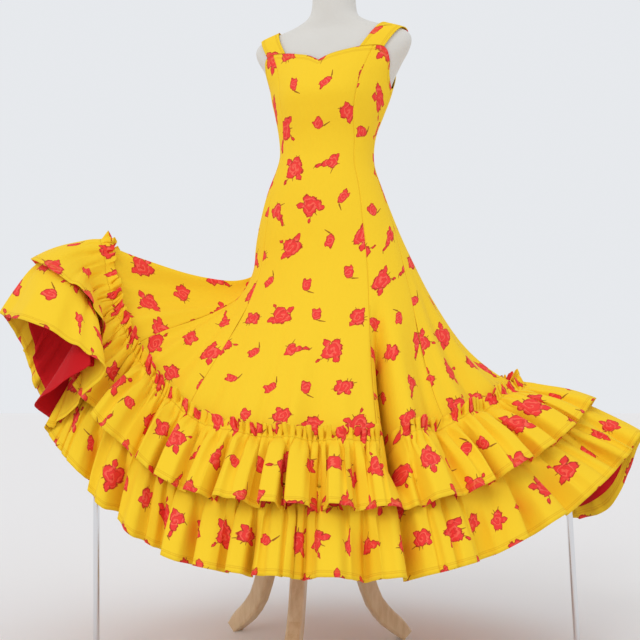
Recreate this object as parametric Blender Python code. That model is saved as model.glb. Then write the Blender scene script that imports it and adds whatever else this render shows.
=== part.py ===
"""A flamenco dress on a limbless dress form, with its skirt spread over two chrome poles.

Metres, +Z up, floor at z 0. The camera-side front of the skirt faces -Y and the skirt is spread
along X. The dress form is turned a little, so that its chest faces between -Y and -X. The origin
is on the floor, below the middle of the whole.
"""

import bisect
import math

import bmesh
import bpy
from mathutils import Matrix, Vector

# ---------------------------------------------------------------- driving sizes
WALL = 0.0020  # cloth wall
SEAM_GAP = 0.0003  # between two pieces sewn edge to edge
EASE = 0.0050  # from the dress form to the middle of the cloth
FORM_YAW = math.radians(-20)  # how far the dress form is turned about Z
STITCH_LINE = 0.0  # the upper ruffle is gathered on here, measured down the cloth
BAND_END = 0.115  # the panels run on this far below the stitch line
HEADER = 0.020  # the upper ruffle's frill above the stitch line
UPPER_FALL = 0.165  # stitch line to the upper ruffle's hem
LOWER_FALL = 0.300  # stitch line to the lower ruffle's hem
LINING_FALL = 0.288  # stitch line to the red under-ruffle's hem
HEM_FALL = LOWER_FALL


def table(columns, *rows):
    """Rows of numbers as a dict of named columns."""
    return dict(zip(columns.split(), map(list, zip(*rows))))


def smooth(xs, ys, x):
    """A smooth curve through the points (xs, ys), read at x."""
    x = min(max(x, xs[0]), xs[-1])
    i = min(max(bisect.bisect_right(xs, x) - 1, 0), len(xs) - 2)
    a, b = max(i - 1, 0), min(i + 2, len(xs) - 1)
    span = xs[i + 1] - xs[i]
    start = (ys[i + 1] - ys[a]) / (xs[i + 1] - xs[a]) * span
    end = (ys[b] - ys[i]) / (xs[b] - xs[i]) * span
    t = (x - xs[i]) / span
    return (
        (2 * t**3 - 3 * t**2 + 1) * ys[i]
        + (t**3 - 2 * t**2 + t) * start
        + (3 * t**2 - 2 * t**3) * ys[i + 1]
        + (t**3 - t**2) * end
    )


def ramp(x, low, high):
    """0 below low, 1 above high, and an S between them."""
    t = min(max((x - low) / (high - low), 0.0), 1.0)
    return t * t * (3 - 2 * t)


# ---------------------------------------------------------------- the dress form
# One row for each ring of the torso. lean_x and lean_y move the ring's middle.
TORSO = table(
    "height half_width front back bust lean_x lean_y",
    (0.860, 0.158, 0.100, 0.110, 0.000, 0.003, 0.000),
    (0.900, 0.172, 0.106, 0.120, 0.000, 0.003, 0.000),
    (0.950, 0.178, 0.110, 0.126, 0.000, 0.003, 0.000),
    (1.000, 0.173, 0.110, 0.122, 0.000, 0.003, 0.000),
    (1.060, 0.158, 0.103, 0.108, 0.000, 0.001, 0.000),
    (1.120, 0.138, 0.095, 0.090, 0.000, -0.001, 0.000),
    (1.170, 0.119, 0.088, 0.078, 0.000, 0.001, 0.000),
    (1.205, 0.113, 0.085, 0.075, 0.000, 0.004, 0.000),
    (1.250, 0.117, 0.088, 0.080, 0.003, 0.006, 0.002),
    (1.300, 0.131, 0.094, 0.090, 0.015, 0.011, 0.004),
    (1.340, 0.144, 0.098, 0.097, 0.022, 0.014, 0.006),
    (1.380, 0.155, 0.095, 0.100, 0.014, 0.016, 0.008),
    (1.420, 0.175, 0.086, 0.096, 0.004, 0.017, 0.010),
    (1.455, 0.196, 0.074, 0.086, 0.000, 0.017, 0.012),
    (1.480, 0.201, 0.062, 0.073, 0.000, 0.017, 0.013),
    (1.498, 0.186, 0.052, 0.062, 0.000, 0.018, 0.013),
    (1.512, 0.146, 0.047, 0.056, 0.000, 0.019, 0.013),
    (1.526, 0.100, 0.047, 0.053, 0.000, 0.020, 0.012),
    (1.544, 0.066, 0.048, 0.051, 0.000, 0.021, 0.010),
    (1.570, 0.055, 0.049, 0.050, 0.000, 0.022, 0.008),
    (1.620, 0.053, 0.050, 0.050, 0.000, 0.022, 0.006),
)
BUST_APART = 0.062  # from the middle to the fullest point on each side
BUST_WIDTH = 0.060


def ring(height, column):
    return smooth(TORSO["height"], TORSO[column], height)


def bust_share(x, bridged):
    """How much of the bust's fullness a place x off the middle has. Cloth bridges the middle."""
    off = abs(x) - BUST_APART
    if bridged and off < 0:
        return 1.0
    return math.exp(-((off / BUST_WIDTH) ** 2))


def outside(x, y, height, bridged=True):
    """Over 0 outside the torso at the form's own x and y, under 0 inside, 0 on its surface."""
    depth = ring(height, "front") + ring(height, "bust") * bust_share(x, bridged)
    depth = depth if y < 0 else ring(height, "back")
    return (x / ring(height, "half_width")) ** 2 + (y / depth) ** 2 - 1


def to_world(x, y, height):
    """A point of the form's own frame in the row frame."""
    turned = Matrix.Rotation(FORM_YAW, 3, "Z") @ Vector((x, y, 0))
    turned.z = height
    return turned + Vector((ring(height, "lean_x"), ring(height, "lean_y"), 0))


def moved_out(x, y, height, out, bridged=True):
    """A point on the torso's surface, moved out along its normal, in the row frame."""
    step = 0.0005
    slope = Vector(
        (
            outside(x + step, y, height, bridged) - outside(x - step, y, height, bridged),
            outside(x, y + step, height, bridged) - outside(x, y - step, height, bridged),
            outside(x, y, height + step, bridged) - outside(x, y, height - step, bridged),
        )
    ).normalized()
    x, y, height = Vector((x, y, height)) + slope * out
    return to_world(x, y, height)


def on_torso(turn, height, out=0.0, bridged=True):
    """A point round the torso: turn is 0 in front, 90 at the wearer's left, 180 behind."""
    angle = math.radians(turn)
    x = ring(height, "half_width") * math.sin(angle)
    if math.cos(angle) > 0:
        depth = ring(height, "front") + ring(height, "bust") * bust_share(x, bridged)
    else:
        depth = ring(height, "back")
    return moved_out(x, -depth * math.cos(angle), height, out, bridged)


# ---------------------------------------------------------------- the spread skirt
# The closed line on which the upper ruffle is stitched: from the end that is lifted high, over the
# left pole, along the front to the right pole, and back behind. leave is the height at which the
# cloth leaves the form, rise and set the fall's slope in degrees at the stitch line and at the hem,
# and arrive the slope at which the skirt comes to the line.
LOOP = table(
    "x y z leave rise set fullness sag arrive",
    (-0.535, -0.050, 0.985, 0.935, -3, -82, 0.25, 1.15, 14),
    (-0.512, -0.090, 0.890, 0.935, -14, -80, 0.55, 1.10, -8),
    (-0.476, -0.135, 0.800, 0.940, -24, -80, 0.90, 1.00, -24),
    (-0.432, -0.175, 0.720, 0.950, -36, -80, 1.10, 0.95, -36),
    (-0.380, -0.215, 0.652, 0.960, -46, -80, 1.10, 0.95, -46),
    (-0.285, -0.272, 0.579, 0.980, -54, -76, 1.00, 0.95, -54),
    (-0.150, -0.325, 0.547, 1.000, -57, -72, 1.00, 0.95, -57),
    (-0.005, -0.345, 0.540, 1.010, -58, -70, 1.00, 0.95, -58),
    (0.128, -0.335, 0.538, 1.030, -57, -71, 1.00, 0.95, -57),
    (0.217, -0.300, 0.553, 1.060, -55, -72, 1.00, 0.95, -55),
    (0.290, -0.250, 0.573, 1.090, -50, -70, 1.00, 0.95, -50),
    (0.365, -0.188, 0.600, 1.100, -42, -66, 1.00, 0.95, -42),
    (0.430, -0.115, 0.620, 1.100, -30, -56, 0.80, 0.95, -30),
    (0.480, -0.040, 0.646, 1.090, -12, -40, 0.30, 0.95, -12),
    (0.440, 0.075, 0.622, 1.060, -34, -62, 0.80, 0.95, -34),
    (0.345, 0.190, 0.580, 1.020, -50, -70, 1.00, 0.95, -50),
    (0.205, 0.280, 0.552, 1.000, -56, -72, 1.00, 0.95, -56),
    (0.050, 0.330, 0.541, 0.990, -58, -71, 1.00, 0.95, -58),
    (-0.105, 0.335, 0.547, 0.980, -57, -72, 1.00, 0.95, -57),
    (-0.250, 0.285, 0.582, 0.970, -54, -76, 1.00, 0.95, -54),
    (-0.365, 0.200, 0.652, 0.960, -46, -80, 1.05, 0.95, -46),
    (-0.450, 0.110, 0.748, 0.950, -32, -80, 1.05, 1.00, -32),
    (-0.505, 0.020, 0.880, 0.940, -14, -80, 0.60, 1.10, -6),
)


def loop_stations():
    """How far along the loop each row of LOOP lies, and the loop's whole length."""
    points = [Vector(p) for p in zip(LOOP["x"], LOOP["y"], LOOP["z"])]
    far = [0.0]
    for a, b in zip(points, points[1:] + points[:1]):
        far.append(far[-1] + (b - a).length)
    return far[:-1], far[-1]


STATIONS, LOOP_LENGTH = loop_stations()


def round_loop(column, s):
    """A column of LOOP, read smoothly at s metres along the loop."""
    s %= LOOP_LENGTH
    wrap = 3
    xs = (
        [p - LOOP_LENGTH for p in STATIONS[-wrap:]]
        + STATIONS
        + [p + LOOP_LENGTH for p in STATIONS[:wrap]]
    )
    ys = LOOP[column][-wrap:] + LOOP[column] + LOOP[column][:wrap]
    return smooth(xs, ys, s)


def loop_point(s):
    return Vector([round_loop(column, s) for column in "xyz"])


def outward(s, reach=0.03):
    """The level direction that points away from the skirt, from places reach to each side."""
    along = loop_point(s + reach) - loop_point(s - reach)
    return Vector((along.y, -along.x, 0)).normalized()


def fall_middle(s, down):
    """The place down metres below the stitch line, on a cloth that bends towards the ground."""
    rise, steeper = round_loop("rise", s), round_loop("set", s)
    first = math.radians(rise)
    turn_rate = math.radians(steeper - rise) / HEM_FALL
    now = first + turn_rate * down
    along = (math.sin(now) - math.sin(first)) / turn_rate
    up = -(math.cos(now) - math.cos(first)) / turn_rate
    return loop_point(s) + outward(s) * along + Vector((0, 0, up))


def fall(s, down, out=0.0):
    """fall_middle moved out of the skirt, square to the cloth."""
    step = 0.003
    over = fall_middle(s + step, down) - fall_middle(s - step, down)
    under = fall_middle(s, down + step) - fall_middle(s, down - step)
    return fall_middle(s, down) + under.cross(over).normalized() * out


# The skirt's largest folds: where on the loop, how deep (in is negative), how wide, and where
# between the hip (0) and the stitch line (1) each one starts.
SKIRT_FOLDS = table(
    "s depth width start",
    (0.165, -0.014, 0.045, 0.15),
    (0.420, 0.012, 0.050, 0.30),
    (0.780, -0.008, 0.060, 0.35),
    (0.982, -0.034, 0.026, 0.45),
    (1.060, 0.012, 0.035, 0.30),
    (1.255, -0.013, 0.035, 0.25),
    (1.420, -0.016, 0.040, 0.25),
    (1.700, -0.022, 0.045, 0.30),
    (1.860, 0.016, 0.050, 0.30),
    (2.060, -0.024, 0.045, 0.35),
    (2.290, 0.015, 0.055, 0.30),
    (2.470, -0.022, 0.045, 0.30),
    (2.780, -0.016, 0.050, 0.20),
)


def skirt_fold(s, share):
    """How far the skirt's folds move the cloth out, share of the way from hip to stitch line."""
    moved = 0.0
    for place, depth, width, start in zip(*SKIRT_FOLDS.values()):
        off = (s - place + LOOP_LENGTH / 2) % LOOP_LENGTH - LOOP_LENGTH / 2
        moved += depth * math.exp(-((off / width) ** 2)) * ramp(share, start, 1.0)
    return moved


# ---------------------------------------------------------------- the cut
# The long seams: where each one meets the ruffle on the loop, and its turn round the torso.
SEAMS = table(
    "s turn",
    (0.290, -87),
    (0.511, -47),
    (0.950, 45),
    (1.130, 87),
    (1.360, 93),
    (1.800, 134),
    (2.170, 180),
    (2.540, 226),
    (2.820, 260),
    (0.290 + LOOP_LENGTH, 273),
)
# Each panel: its name, first seam, columns, whether it starts at the neck or at the hip, and the
# degrees that its first and last edges turn above the hip, to close the side seams over the gores.
PANELS = (
    ("panel_front_side_right", 0, 6, "neck", -6.5, 0),
    ("panel_front_centre", 1, 11, "neck", 0, 0),
    ("panel_front_side_left", 2, 5, "neck", 0, 3),
    ("gore_left", 3, 6, "hip", 0, 0),
    ("panel_back_side_left", 4, 11, "neck", -3, 0),
    ("panel_back_centre_left", 5, 10, "neck", 0, 0),
    ("panel_back_centre_right", 6, 10, "neck", 0, 0),
    ("panel_back_side_right", 7, 8, "neck", 0, 6.5),
    ("gore_right", 8, 13, "hip", 0, 0),
)
GORE_GAP = 0.0034  # the gores' seams need more room, where their points meet the panels
SWING_IN, SWING_OUT = -5.0, 5.0  # degrees that the princess seams swing over the bust and waist
# The bodice's top edge round one half: sweetheart, strap, armhole, strap and low back.
TOP_EDGE = table(
    "turn height",
    (0, 1.4170),
    (10, 1.4310),
    (22, 1.4400),
    (34, 1.4470),
    (55, 1.4470),
    (67, 1.4200),
    (77, 1.3850),
    (91, 1.3600),
    (104, 1.3760),
    (116, 1.4050),
    (128, 1.4300),
    (146, 1.4300),
    (157, 1.4150),
    (180, 1.4000),
)
STRAP_GAP = 0.0014  # between a strap's foot and the panel's top edge


def top_edge(turn):
    return smooth(TOP_EDGE["turn"], TOP_EDGE["height"], abs((turn + 180) % 360 - 180))


def swung(turn, height):
    """The princess seams swing in over the bust and out at the waist."""
    swing = SWING_IN * ramp(height, 1.22, 1.34) + SWING_OUT * (
        ramp(height, 1.02, 1.14) - ramp(height, 1.22, 1.30)
    )
    return turn + swing * math.sin(2 * math.radians(turn))


def bodice_point(turn, height, out=EASE):
    return on_torso(swung(turn, height), height, out)


TIP_REACH = 0.15  # round the skirt's two ends, the cloth above the line turns more gently


def skirt_point(s, turn, share, out=0.0):
    """A point between the hip (share 0) and the stitch line (share 1)."""
    leave = round_loop("leave", s)
    start = bodice_point(turn, leave)
    end = loop_point(s)
    below = start - bodice_point(turn, leave + 0.01)
    reach = (end - start).length
    pull_start = below.normalized() * reach * round_loop("sag", s)
    arrive = math.radians(round_loop("arrive", s))
    last = outward(s, TIP_REACH) * math.cos(arrive) + Vector((0, 0, math.sin(arrive)))
    pull_end = last * reach * 0.85
    t = share
    place = (
        (2 * t**3 - 3 * t**2 + 1) * start
        + (t**3 - 2 * t**2 + t) * pull_start
        + (3 * t**2 - 2 * t**3) * end
        + (t**3 - t**2) * pull_end
    )
    away = fall(s, 0.0, 1.0) - end
    return place + away * (skirt_fold(s, share) + out)


def dress_point(s, turn, down):
    """down runs from 0 at the top edge over 1 at the hip and 2 at the stitch line, then on as
    2 plus metres below the stitch line."""
    if down <= 1:
        top = top_edge(turn)
        return bodice_point(turn, top + (round_loop("leave", s) - top) * down)
    if down <= 2:
        return skirt_point(s, turn, down - 1)
    return fall(s, down - 2, skirt_fold(s, 1.0))


# ---------------------------------------------------------------- making meshes
def material(name, colour, roughness, metallic=0.0):
    made = bpy.data.materials.get(name)
    if made:
        return made
    made = bpy.data.materials.new(name)
    made.use_nodes = True
    shader = made.node_tree.nodes["Principled BSDF"]
    shader.inputs["Base Color"].default_value = (*colour, 1)
    shader.inputs["Roughness"].default_value = roughness
    shader.inputs["Metallic"].default_value = metallic
    return made


def yellow_cotton():
    return material("yellow_cotton", (0.93, 0.62, 0.01), 0.85)


def red_lining():
    return material("red_lining", (0.70, 0.01, 0.01), 0.80)


def cream_jersey():
    return material("cream_jersey", (0.72, 0.69, 0.63), 0.90)


def pale_wood():
    return material("pale_wood", (0.70, 0.52, 0.33), 0.55)


def chrome():
    return material("chrome", (0.75, 0.76, 0.78), 0.12, 1.0)


def add_object(name, mesh_maker, surface):
    """An object from a filled bmesh."""
    mesh = bpy.data.meshes.new(name)
    mesh_maker.normal_update()
    mesh_maker.to_mesh(mesh)
    mesh_maker.free()
    mesh.materials.append(surface)
    mesh.shade_smooth()
    made = bpy.data.objects.new(name, mesh)
    bpy.context.scene.collection.objects.link(made)
    return made


def normal_at(place, across, below, reach):
    """The outward normal of a sheet, from places reach to each side and a little up and down."""
    over = place(across + reach, below) - place(across - reach, below)
    high, low = max(below - 0.004, 0.0), min(below + 0.004, 1.0)
    under = place(across, low) - place(across, high)
    return under.cross(over).normalized()


def cloth(name, columns, rows, place, surface, closed=False, gap=SEAM_GAP):
    """A cloth wall on a grid, its middle placed by place(across, below), both from 0 to 1. A
    closed sheet joins its last column to its first. Both sides are split into triangles along
    the same diagonals, so that they stay a wall apart where the cloth twists."""
    width = columns if closed else columns + 1
    points = []
    for side in (0.5, -0.5):
        for row in range(rows + 1):
            for column in range(width):
                across, below = column / columns, row / rows
                middle = place(across, below)
                inner = not closed and 0 < column < columns
                reach = 0.5 / columns if inner else 0.004
                if not closed and not inner:
                    inward = place(across + (0.02 if column == 0 else -0.02), below) - middle
                    middle = middle + inward.normalized() * gap / 2
                points.append(middle + normal_at(place, across, below, reach) * side * WALL)
    inside = width * (rows + 1)

    def corner(column, row, layer):
        return layer * inside + row * width + column % width

    faces = []
    for row in range(rows):
        for column in range(columns):
            first, below = (column, row), (column, row + 1)
            opposite, beside = (column + 1, row + 1), (column + 1, row)
            for half in ((first, below, opposite), (first, opposite, beside)):
                faces.append([corner(*at, 0) for at in half])
                faces.append([corner(*at, 1) for at in reversed(half)])
    rims = [((column, 0), (column + 1, 0)) for column in range(columns)]
    rims += [((column + 1, rows), (column, rows)) for column in range(columns)]
    if not closed:
        rims += [((0, row + 1), (0, row)) for row in range(rows)]
        rims += [((columns, row), (columns, row + 1)) for row in range(rows)]
    for start, end in rims:
        faces.append([corner(*start, 0), corner(*end, 0), corner(*end, 1), corner(*start, 1)])
    mesh = bpy.data.meshes.new(name)
    mesh.from_pydata(points, [], faces)
    mesh.validate()
    mesh.materials.append(surface)
    mesh.shade_smooth()
    mesh.set_sharp_from_angle(angle=math.radians(50))
    made = bpy.data.objects.new(name, mesh)
    bpy.context.scene.collection.objects.link(made)
    return made


# ---------------------------------------------------------------- panels, gores and straps
BODICE_ROWS, SKIRT_ROWS, BAND_ROWS = 9, 5, 1
ROWS_CROWD = 1.5  # over 1, the skirt's rows crowd towards the stitch line


def down_of(row_share, first):
    """The down value of a row: its steps over bodice, skirt and the band under the ruffle."""
    rows = BODICE_ROWS + SKIRT_ROWS + BAND_ROWS
    row = first + row_share * (rows - first)
    if row <= BODICE_ROWS:
        return row / BODICE_ROWS
    if row <= BODICE_ROWS + SKIRT_ROWS:
        return 2 - (1 - (row - BODICE_ROWS) / SKIRT_ROWS) ** ROWS_CROWD
    return 2 + BAND_END * (row - BODICE_ROWS - SKIRT_ROWS) / BAND_ROWS


CLOSES = 0.110  # share of the bodice, above the hip, over which the side seams close


def make_panel(name, seam, columns, starts_at, close_first, close_last):
    """One long cut panel between two seams."""
    s_from, s_to = SEAMS["s"][seam : seam + 2]
    turn_from, turn_to = SEAMS["turn"][seam : seam + 2]
    first = 0 if starts_at == "neck" else BODICE_ROWS
    rows = BODICE_ROWS + SKIRT_ROWS + BAND_ROWS - first

    def place(across, below):
        s = s_from + (s_to - s_from) * across
        down = down_of(below, first)
        closing = close_first * (1 - across) + close_last * across
        turn = turn_from + (turn_to - turn_from) * across + closing * ramp(1 - down, 0.0, CLOSES)
        return dress_point(s, turn, down)

    cloth(name, columns, rows, place, yellow_cotton(), gap=GORE_GAP if first else SEAM_GAP)


STRAP_IN_FRONT, STRAP_OUT_FRONT = 34, 55  # turns of its two edges at the front base
STRAP_IN_BACK, STRAP_OUT_BACK = 146, 128
STRAP_IN_TOP, STRAP_OUT_TOP = 0.138, 0.185  # the form's own x of its edges on the shoulder
STRAP_EYE = 1.400  # height from which a strap's run over the shoulder is measured


def base_of_strap(turn, height):
    """The form's own x and y at a strap's foot."""
    angle = math.radians(swung(turn, height))
    depth = ring(height, "back")
    if math.cos(angle) > 0:
        x = ring(height, "half_width") * math.sin(angle)
        depth = ring(height, "front") + ring(height, "bust") * bust_share(x, True)
    return Vector((ring(height, "half_width") * math.sin(angle), -depth * math.cos(angle)))


def over_shoulder(x, angle):
    """Where a ray in the upright plane at x meets the form: angle 0 in front, pi behind."""
    low, high = 0.01, 0.30
    for _ in range(40):
        reach = (low + high) / 2
        y, height = -reach * math.cos(angle), STRAP_EYE + reach * math.sin(angle)
        inside = outside(x, y, height) < 0
        low, high = (reach, high) if inside else (low, reach)
    return -low * math.cos(angle), STRAP_EYE + low * math.sin(angle)


def make_strap(name, side):
    """A shoulder strap on the form, from the front panel's corner over to the back's."""

    def place(across, along):
        across = across if side > 0 else 1 - across
        in_front = STRAP_IN_FRONT + (STRAP_OUT_FRONT - STRAP_IN_FRONT) * across
        behind = STRAP_IN_BACK + (STRAP_OUT_BACK - STRAP_IN_BACK) * across
        front_foot = top_edge(in_front) + STRAP_GAP
        back_foot = top_edge(behind) + STRAP_GAP
        front, back = base_of_strap(in_front, front_foot), base_of_strap(behind, back_foot)
        first = math.atan2(front_foot - STRAP_EYE, -front.y)
        last = math.atan2(back_foot - STRAP_EYE, -back.y)
        angle = first + (last - first) * along
        top_x = STRAP_IN_TOP + (STRAP_OUT_TOP - STRAP_IN_TOP) * across
        marks = (0.0, 0.5, 1.0)
        x = smooth(marks, (front.x, top_x, back.x), along)
        y, height = over_shoulder(x, angle)
        return moved_out(x * side, y, height, EASE)

    cloth(name, 3, 12, place, yellow_cotton())


# ---------------------------------------------------------------- ruffles
def all_stations():
    """Where on the loop every column of the panels lies, so that the ruffles' columns match."""
    found = []
    for _, seam, columns, *_ in PANELS:
        low, high = SEAMS["s"][seam : seam + 2]
        found += [low + (high - low) * column / columns for column in range(columns)]
    return found


COLUMNS_PER_FLUTE = 4


def station(across, stations):
    """The place on the loop of a share of all the columns."""
    index = across * len(stations)
    below = math.floor(index)
    turns, rest = divmod(below, len(stations))
    low = stations[rest] + turns * LOOP_LENGTH
    turns, rest = divmod(below + 1, len(stations))
    high = stations[rest] + turns * LOOP_LENGTH
    return low + (high - low) * (index - below)


def make_ruffle(name, surface, from_fall, to_fall, rows, stand, swell, phase):
    """A gathered strip round the whole loop. stand and swell give, for a distance below its
    gathering line, how far it stands off the skirt and how deep its folds are."""
    stations = all_stations()

    def place(across, below):
        s = station(across, stations)
        down = from_fall + (to_fall - from_fall) * below
        free = max(down - max(from_fall, STITCH_LINE), 0.0)
        full = round_loop("fullness", s)
        fold = 2 * math.pi * across * len(stations) / COLUMNS_PER_FLUTE + phase
        base = skirt_fold(s, 1.0) * (1 - ramp(down, BAND_END, HEM_FALL))
        return fall(s, down, base + stand(free, full) + swell(free) * full * math.cos(fold))

    cloth(name, len(stations), rows, place, surface, closed=True)


def make_ruffles():
    make_ruffle(
        "ruffle_upper",
        yellow_cotton(),
        -HEADER,
        UPPER_FALL,
        4,
        lambda free, full: 0.0055 + 0.0045 * (1 - full) + (0.02 + 0.15 * full) * free,
        lambda free: 0.0014 + 0.085 * free,
        0.0,
    )
    make_ruffle(
        "ruffle_lower",
        yellow_cotton(),
        BAND_END - 0.006,
        LOWER_FALL,
        4,
        lambda free, full: 0.0045 + (0.05 + 0.04 * full) * free,
        lambda free: 0.0006 + 0.080 * free,
        1.9,
    )
    make_ruffle(
        "ruffle_lining",
        red_lining(),
        BAND_END - 0.006,
        LINING_FALL,
        3,
        lambda free, full: -0.0050 - 0.050 * free,
        lambda free: 0.0005 + 0.020 * free,
        3.6,
    )


# ---------------------------------------------------------------- dress form and its stand
FORM_COLUMNS, FORM_ROWS = 32, 28
NECK_CAP_HEIGHT = 0.006
STAND_X, STAND_Y = -0.038, 0.000
COLUMN_RADIUS = 0.016
HUB_RADIUS, HUB_LOW, HUB_HIGH = 0.030, 0.205, 0.330
LEG_THICK, LEG_BEVEL = 0.036, 0.007
LEG_TURNS = {"leg_front": -100, "leg_right": 20, "leg_left": 140}  # degrees from +X, from above
# The leg's middle line in its own upright plane, from the hub to the foot, and its width.
LEG = table(
    "reach height width",
    (0.034, 0.286, 0.052),
    (0.080, 0.272, 0.048),
    (0.120, 0.228, 0.044),
    (0.146, 0.165, 0.042),
    (0.168, 0.105, 0.043),
    (0.200, 0.062, 0.046),
    (0.232, 0.034, 0.044),
    (0.258, 0.008, 0.032),
)


def make_form():
    """The torso from its rings, closed top and bottom."""
    low, high = TORSO["height"][0], TORSO["height"][-1]
    body = bmesh.new()
    rings = []
    for row in range(FORM_ROWS + 1):
        height = low + (high - low) * row / FORM_ROWS
        turns = [360 * column / FORM_COLUMNS for column in range(FORM_COLUMNS)]
        rings.append([body.verts.new(on_torso(turn, height, 0.0, False)) for turn in turns])
    for under, over in zip(rings, rings[1:]):
        for column in range(FORM_COLUMNS):
            after = (column + 1) % FORM_COLUMNS
            body.faces.new((under[column], under[after], over[after], over[column]))
    body.faces.new(rings[0])
    body.faces.new(rings[-1])
    bmesh.ops.recalc_face_normals(body, faces=body.faces)
    return add_object("form_torso", body, cream_jersey())


def turned_piece(name, profile, surface, place, segments=28):
    """A round piece from a profile of (radius, height) pairs, both ends on its axis."""
    piece = bmesh.new()
    corners = [piece.verts.new((radius, 0, height)) for radius, height in profile]
    edges = [piece.edges.new(pair) for pair in zip(corners, corners[1:])]
    bmesh.ops.spin(
        piece,
        geom=corners + edges,
        cent=(0, 0, 0),
        axis=(0, 0, 1),
        angle=2 * math.pi,
        steps=segments,
        use_merge=True,
    )
    bmesh.ops.remove_doubles(piece, verts=piece.verts, dist=1e-5)
    bmesh.ops.recalc_face_normals(piece, faces=piece.faces)
    made = add_object(name, piece, surface)
    made.data.set_sharp_from_angle(angle=math.radians(35))
    made.location = place
    return made


def make_leg(name, turn):
    """One S-shaped leg, sawn from a plank and bevelled, cut flat where it stands."""
    leg = bmesh.new()
    steps = 13
    upper, lower = [], []
    marks = list(range(len(LEG["reach"])))
    for step in range(steps):
        mark = step / (steps - 1) * marks[-1]
        here = Vector([smooth(marks, LEG[c], mark) for c in ("reach", "height")])
        ahead = Vector([smooth(marks, LEG[c], min(mark + 0.05, marks[-1])) for c in ("reach", "height")])
        back = Vector([smooth(marks, LEG[c], max(mark - 0.05, 0)) for c in ("reach", "height")])
        along = (ahead - back).normalized()
        side = Vector((-along.y, along.x)) * smooth(marks, LEG["width"], mark) / 2
        upper.append(here + side)
        lower.append(here - side)
    outline = upper + lower[::-1]
    corners = [leg.verts.new((p.x, -LEG_THICK / 2, p.y)) for p in outline]
    face = leg.faces.new(corners)
    grown = bmesh.ops.extrude_face_region(leg, geom=[face])["geom"]
    far_side = [v for v in grown if isinstance(v, bmesh.types.BMVert)]
    bmesh.ops.translate(leg, verts=far_side, vec=(0, LEG_THICK, 0))
    bmesh.ops.recalc_face_normals(leg, faces=leg.faces)
    rim = [e for e in leg.edges if abs(e.verts[0].co.y - e.verts[1].co.y) < 1e-6]
    bmesh.ops.bevel(
        leg, geom=rim, offset=LEG_BEVEL, affect="EDGES", segments=2, profile=0.5, material=-1
    )
    cut = bmesh.ops.bisect_plane(
        leg,
        geom=leg.verts[:] + leg.edges[:] + leg.faces[:],
        plane_co=(0, 0, 0),
        plane_no=(0, 0, 1),
        clear_inner=True,
    )["geom_cut"]
    bmesh.ops.holes_fill(leg, edges=[e for e in cut if isinstance(e, bmesh.types.BMEdge)])
    hub = HUB_RADIUS + SEAM_GAP
    cut = bmesh.ops.bisect_plane(
        leg,
        geom=leg.verts[:] + leg.edges[:] + leg.faces[:],
        plane_co=(hub, 0, 0),
        plane_no=(1, 0, 0),
        clear_inner=True,
    )["geom_cut"]
    bmesh.ops.holes_fill(leg, edges=[e for e in cut if isinstance(e, bmesh.types.BMEdge)])
    bmesh.ops.recalc_face_normals(leg, faces=leg.faces)
    made = add_object(name, leg, pale_wood())
    made.data.set_sharp_from_angle(angle=math.radians(40))
    made.location = (STAND_X, STAND_Y, 0)
    made.rotation_euler = (0, 0, math.radians(turn))
    return made


def make_stand():
    form_bottom = TORSO["height"][0]
    turned_piece(
        "stand_column",
        (
            (0, HUB_HIGH + SEAM_GAP),
            (COLUMN_RADIUS, HUB_HIGH + SEAM_GAP),
            (COLUMN_RADIUS, form_bottom - SEAM_GAP),
            (0, form_bottom - SEAM_GAP),
        ),
        chrome(),
        (STAND_X, STAND_Y, 0),
        24,
    )
    turned_piece(
        "stand_hub",
        (
            (0, HUB_LOW - 0.018),
            (HUB_RADIUS * 0.5, HUB_LOW - 0.014),
            (HUB_RADIUS, HUB_LOW),
            (HUB_RADIUS, HUB_HIGH - 0.010),
            (HUB_RADIUS - 0.004, HUB_HIGH),
            (0, HUB_HIGH),
        ),
        pale_wood(),
        (STAND_X, STAND_Y, 0),
    )
    for name, turn in LEG_TURNS.items():
        make_leg(name, turn)
    top = TORSO["height"][-1] + SEAM_GAP
    neck = to_world(0, 0, TORSO["height"][-1])
    radius = ring(TORSO["height"][-1], "half_width") + 0.0015
    turned_piece(
        "form_neck_cap",
        (
            (0, 0),
            (radius, 0),
            (radius, NECK_CAP_HEIGHT - 0.0015),
            (radius - 0.002, NECK_CAP_HEIGHT),
            (0, NECK_CAP_HEIGHT),
        ),
        pale_wood(),
        (neck.x, neck.y, top),
        32,
    )


# ---------------------------------------------------------------- the two chrome poles
POLE_RADIUS = 0.0075
KNOB_RADIUS = 0.0110
BASE_RADIUS, BASE_THICK = 0.070, 0.010
POLES = {  # middle of the pole on the floor, its rounded top's height, and its lean to +X
    "left": (-0.549, -0.052, 0.962, 0.0),
    "right": (0.608, -0.045, 0.586, math.radians(-3.4)),
}


def make_pole(side, x, y, top, lean):
    knob = [
        (
            KNOB_RADIUS * math.cos(math.radians(angle)),
            top - KNOB_RADIUS + KNOB_RADIUS * math.sin(math.radians(angle)),
        )
        for angle in (-45, -15, 15, 45, 70)
    ]
    foot = BASE_THICK + SEAM_GAP + POLE_RADIUS * abs(math.sin(lean)) * 1.2
    pole = turned_piece(
        f"prop_pole_{side}",
        [
            (0, foot),
            (POLE_RADIUS, foot),
            (POLE_RADIUS, top - KNOB_RADIUS * 1.75),
            *knob,
            (0, top),
        ],
        chrome(),
        (x, y, 0),
        20,
    )
    pole.rotation_euler = (0, lean, 0)
    turned_piece(
        f"prop_base_{side}",
        (
            (0, 0),
            (BASE_RADIUS, 0),
            (BASE_RADIUS, BASE_THICK * 0.6),
            (BASE_RADIUS - 0.006, BASE_THICK),
            (0, BASE_THICK),
        ),
        chrome(),
        (x, y, 0),
        40,
    )


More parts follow.
